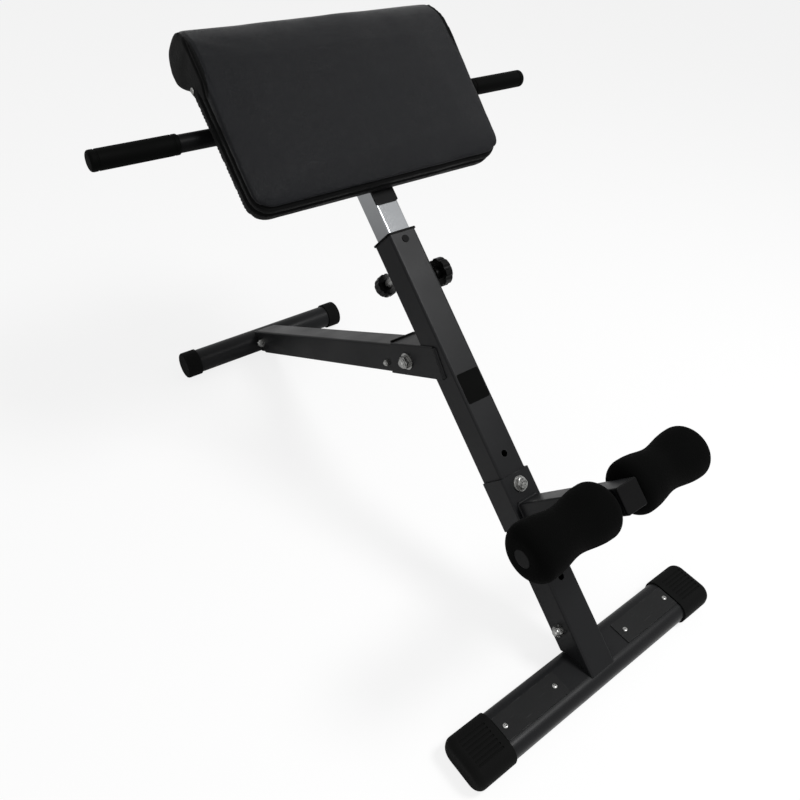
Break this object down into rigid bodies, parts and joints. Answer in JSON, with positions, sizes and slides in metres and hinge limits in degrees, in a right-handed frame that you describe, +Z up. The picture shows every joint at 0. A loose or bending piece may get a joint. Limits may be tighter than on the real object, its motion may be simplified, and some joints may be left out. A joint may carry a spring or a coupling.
{
  "type": "roman chair",
  "caption": "Folding hyperextension bench with a sloping telescopic mast, a wide hip pad with side handles, an adjustable pair of ankle rollers and a hinged rear leg.",
  "frame": {"origin": "on the floor, midway along the bench and on its plane of symmetry", "axes": "+Z up, +Y the way the user faces, from the base with the foot plates to the rear foot, +X to the user's right"},
  "size_m": [0.784, 1.0512, 0.7705],
  "materials": {
    "powder_coat": "fine satin powder coat, near black",
    "chrome": "bright chrome",
    "zinc": "zinc plated",
    "black_steel": "black satin",
    "cap_rubber": "matt moulded rubber",
    "grip_rubber": "matt",
    "knob_plastic": "moulded",
    "bushing_plastic": "moulded",
    "foam": "closed cell foam, matt",
    "vinyl": "soft black upholstery vinyl",
    "plywood": "bare plywood"
  },
  "bodies": {
    "frame": {"front_base_tube": "powder_coat", "front_cap_left": "cap_rubber", "front_cap_right": "cap_rubber", "foot_plate_left": "black_steel", "foot_plate_right": "black_steel", "foot_plate_screws": "zinc", "base_bracket": "powder_coat", "base_bolt": "zinc", "base_nut": "zinc", "base_washers": "zinc", "main_tube": "powder_coat", "collar_bushing": "bushing_plastic", "pull_pin_barrel": "zinc", "pull_pin_spring": "zinc", "clamp_nut": "zinc", "leg_bracket": "powder_coat", "leg_buffer": "cap_rubber", "leg_pivot_bolt": "zinc", "leg_pivot_nut": "zinc", "leg_pivot_washers": "zinc"},
    "leg": {"rear_leg_tube": "powder_coat", "leg_pivot_bush": "zinc", "leg_stop_bolt": "zinc", "leg_stop_nut": "zinc", "rear_foot_tube": "powder_coat", "rear_cap_left": "cap_rubber", "rear_cap_right": "cap_rubber", "rear_foot_bracket": "powder_coat", "rear_foot_bolt": "zinc", "rear_foot_nut": "zinc", "rear_foot_washers": "zinc"},
    "carriage": {"roller_bracket": "powder_coat", "roller_washer": "zinc", "roller_bolt": "zinc", "roller_arm": "powder_coat", "roller_arm_cap": "bushing_plastic", "roller_axle": "chrome", "axle_plug_left": "bushing_plastic", "axle_plug_right": "bushing_plastic"},
    "left_roller": {"roller_left": "foam"},
    "right_roller": {"roller_right": "foam"},
    "post": {"inner_post": "chrome", "post_end_plugs": "bushing_plastic", "pad_bracket": "black_steel", "pad_screws": "zinc", "handlebar": "black_steel", "grip_left": "grip_rubber", "grip_right": "grip_rubber", "pad_board": "plywood", "pad_cushion": "vinyl", "pad_eyelets": "zinc"},
    "pin": {"pull_pin": "zinc", "pull_pin_knob": "knob_plastic"},
    "clamp": {"clamp_screw": "zinc", "clamp_knob": "knob_plastic"}
  },
  "joints": [
    {"name": "leg_fold", "type": "hinge", "parent": "frame", "child": "leg", "pos_m": [0, -0.04197, 0.32452], "axis": [-1, 0, 0], "range_deg": [0, 104]},
    {"name": "carriage_slide", "type": "slide", "parent": "frame", "child": "carriage", "axis": [0, 0.7531, 0.6579], "range_m": [-0.15, 0.05]},
    {"name": "left_roller_spin", "type": "hinge", "parent": "carriage", "child": "left_roller", "pos_m": [-0.09, -0.43772, 0.34657], "axis": [1, 0, 0], "continuous": true},
    {"name": "right_roller_spin", "type": "hinge", "parent": "carriage", "child": "right_roller", "pos_m": [0.09, -0.43772, 0.34657], "axis": [1, 0, 0], "continuous": true},
    {"name": "post_slide", "type": "slide", "parent": "frame", "child": "post", "axis": [0, 0.7531, 0.6579], "range_m": [-0.044, 0.105]},
    {"name": "pull_pin_slide", "type": "slide", "parent": "frame", "child": "pin", "axis": [0, 0.6579, -0.7531], "range_m": [0, 0.01], "stiffness_N_per_m": 800, "springref_m": -0.006},
    {"name": "clamp_screw_turn", "type": "hinge", "parent": "frame", "child": "clamp", "pos_m": [0.025, -0.0097, 0.44894], "axis": [1, 0, 0], "continuous": true}
  ]
}
